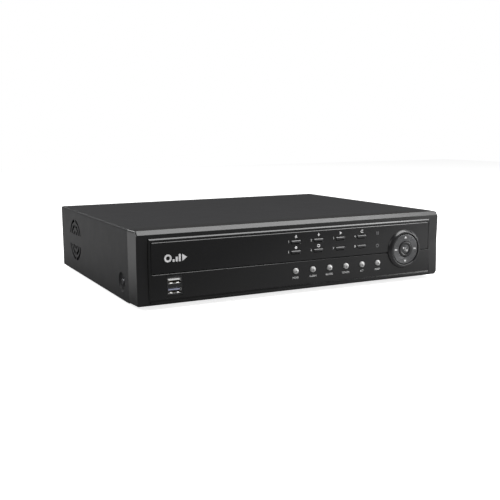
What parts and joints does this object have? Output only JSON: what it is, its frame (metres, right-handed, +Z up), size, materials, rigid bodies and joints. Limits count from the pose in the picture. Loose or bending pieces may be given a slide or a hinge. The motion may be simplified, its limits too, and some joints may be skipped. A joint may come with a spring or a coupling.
{
  "type": "digital video recorder",
  "caption": "Low steel-cased video recorder with a glossy front panel, thin channel keys, status lights, a round navigation pad, front data ports and rear video sockets.",
  "frame": {"origin": "centre of the footprint, on the surface under the feet", "axes": "+X to the right seen from the front, along the width; front face towards -Y; +Z up"},
  "size_m": [0.325, 0.2694, 0.069],
  "materials": {
    "black_steel": "satin powder coat",
    "bezel_plastic": "satin gloss, graphite",
    "panel_plastic": "gloss black",
    "window_plastic": "deep gloss, dark tint",
    "key_plastic": "gloss black",
    "lens": "milky, clear dome",
    "ring_plastic": "gloss black",
    "rocker_plastic": "satin grey",
    "black_plastic": "moulded, fine texture",
    "board": "green solder mask",
    "nickel": "nickel plate",
    "silver": "bright satin",
    "white_plastic": "smooth",
    "blue_plastic": "smooth",
    "disk_alloy": "cast and machined",
    "ribbon": "grey ribbon",
    "red_cable": "smooth",
    "green_plastic": "smooth",
    "zinc": "black zinc",
    "rubber": "matt"
  },
  "bodies": {
    "case": {"base_tray": "black_steel", "top_cover": "black_steel", "front_bezel": "bezel_plastic", "front_panel": "panel_plastic", "window_strip": "window_plastic", "badge": "silver", "status_lens_disk": "lens", "status_lens_alarm": "lens", "status_lens_record": "lens", "status_lens_network": "lens", "status_lens_remote": "lens", "status_lens_power": "lens", "nav_surround": "ring_plastic", "fan_frame": "black_plastic", "audio_block": "black_plastic", "dc_jack": "black_plastic", "power_switch_housing": "black_plastic", "front_board": "board", "main_board": "board", "usb_shell": "nickel", "vga_socket": "nickel", "ethernet_jack": "nickel", "video_out_socket": "nickel", "video_in_pair_1": "nickel", "video_in_pair_2": "nickel", "video_in_pair_3": "nickel", "video_in_pair_4": "nickel", "usb_tongue_upper": "white_plastic", "usb_tongue_lower": "blue_plastic", "heatsink": "disk_alloy", "hard_disk": "disk_alloy", "ribbon_cable": "ribbon", "disk_lead": "red_cable", "terminal_block": "green_plastic", "cover_screw_left": "zinc", "cover_screw_right": "zinc", "rear_screw_left": "zinc", "rear_screw_middle": "zinc", "rear_screw_right": "zinc", "disk_screw_1": "zinc", "disk_screw_2": "zinc", "disk_screw_3": "zinc", "disk_screw_4": "zinc", "foot_front_left": "rubber", "foot_front_right": "rubber", "foot_rear_left": "rubber", "foot_rear_right": "rubber"},
    "key_1": {"channel_key_1": "key_plastic"},
    "key_2": {"channel_key_2": "key_plastic"},
    "key_3": {"channel_key_3": "key_plastic"},
    "key_4": {"channel_key_4": "key_plastic"},
    "key_5": {"channel_key_5": "key_plastic"},
    "key_6": {"channel_key_6": "key_plastic"},
    "key_7": {"channel_key_7": "key_plastic"},
    "key_8": {"channel_key_8": "key_plastic"},
    "nav_tilt_lr": {"nav_carrier": "black_plastic"},
    "nav_tilt_ud": {"nav_rocker": "rocker_plastic"},
    "enter_button": {"nav_enter_button": "ring_plastic"},
    "fan_wheel": {"fan_rotor": "black_plastic"},
    "power_key": {"power_rocker": "black_plastic"}
  },
  "joints": [
    {"name": "key_1_press", "type": "slide", "parent": "case", "child": "key_1", "axis": [0, 1, 0], "range_m": [0, 0.0008], "stiffness_N_per_m": 1200},
    {"name": "key_2_press", "type": "slide", "parent": "case", "child": "key_2", "axis": [0, 1, 0], "range_m": [0, 0.0008], "stiffness_N_per_m": 1200},
    {"name": "key_3_press", "type": "slide", "parent": "case", "child": "key_3", "axis": [0, 1, 0], "range_m": [0, 0.0008], "stiffness_N_per_m": 1200},
    {"name": "key_4_press", "type": "slide", "parent": "case", "child": "key_4", "axis": [0, 1, 0], "range_m": [0, 0.0008], "stiffness_N_per_m": 1200},
    {"name": "key_5_press", "type": "slide", "parent": "case", "child": "key_5", "axis": [0, 1, 0], "range_m": [0, 0.0008], "stiffness_N_per_m": 1200},
    {"name": "key_6_press", "type": "slide", "parent": "case", "child": "key_6", "axis": [0, 1, 0], "range_m": [0, 0.0008], "stiffness_N_per_m": 1200},
    {"name": "key_7_press", "type": "slide", "parent": "case", "child": "key_7", "axis": [0, 1, 0], "range_m": [0, 0.0008], "stiffness_N_per_m": 1200},
    {"name": "key_8_press", "type": "slide", "parent": "case", "child": "key_8", "axis": [0, 1, 0], "range_m": [0, 0.0008], "stiffness_N_per_m": 1200},
    {"name": "nav_left_right", "type": "hinge", "parent": "case", "child": "nav_tilt_lr", "pos_m": [0.1179, -0.13275, 0.0337], "axis": [0, 0, 1], "range_deg": [-2.5, 2.5], "stiffness_Nm_per_rad": 0.38},
    {"name": "nav_up_down", "type": "hinge", "parent": "nav_tilt_lr", "child": "nav_tilt_ud", "pos_m": [0.1179, -0.13275, 0.0337], "axis": [1, 0, 0], "range_deg": [-2.5, 2.5], "stiffness_Nm_per_rad": 0.38},
    {"name": "enter_press", "type": "slide", "parent": "case", "child": "enter_button", "axis": [0, 1, 0], "range_m": [0, 0.0008], "stiffness_N_per_m": 1200},
    {"name": "fan_spin", "type": "hinge", "parent": "case", "child": "fan_wheel", "pos_m": [-0.1567, 0.06375, 0.038], "axis": [1, 0, 0], "continuous": true},
    {"name": "power_switch", "type": "hinge", "parent": "case", "child": "power_key", "pos_m": [0.146, 0.11775, 0.047], "axis": [1, 0, 0], "range_deg": [0, 18]}
  ]
}
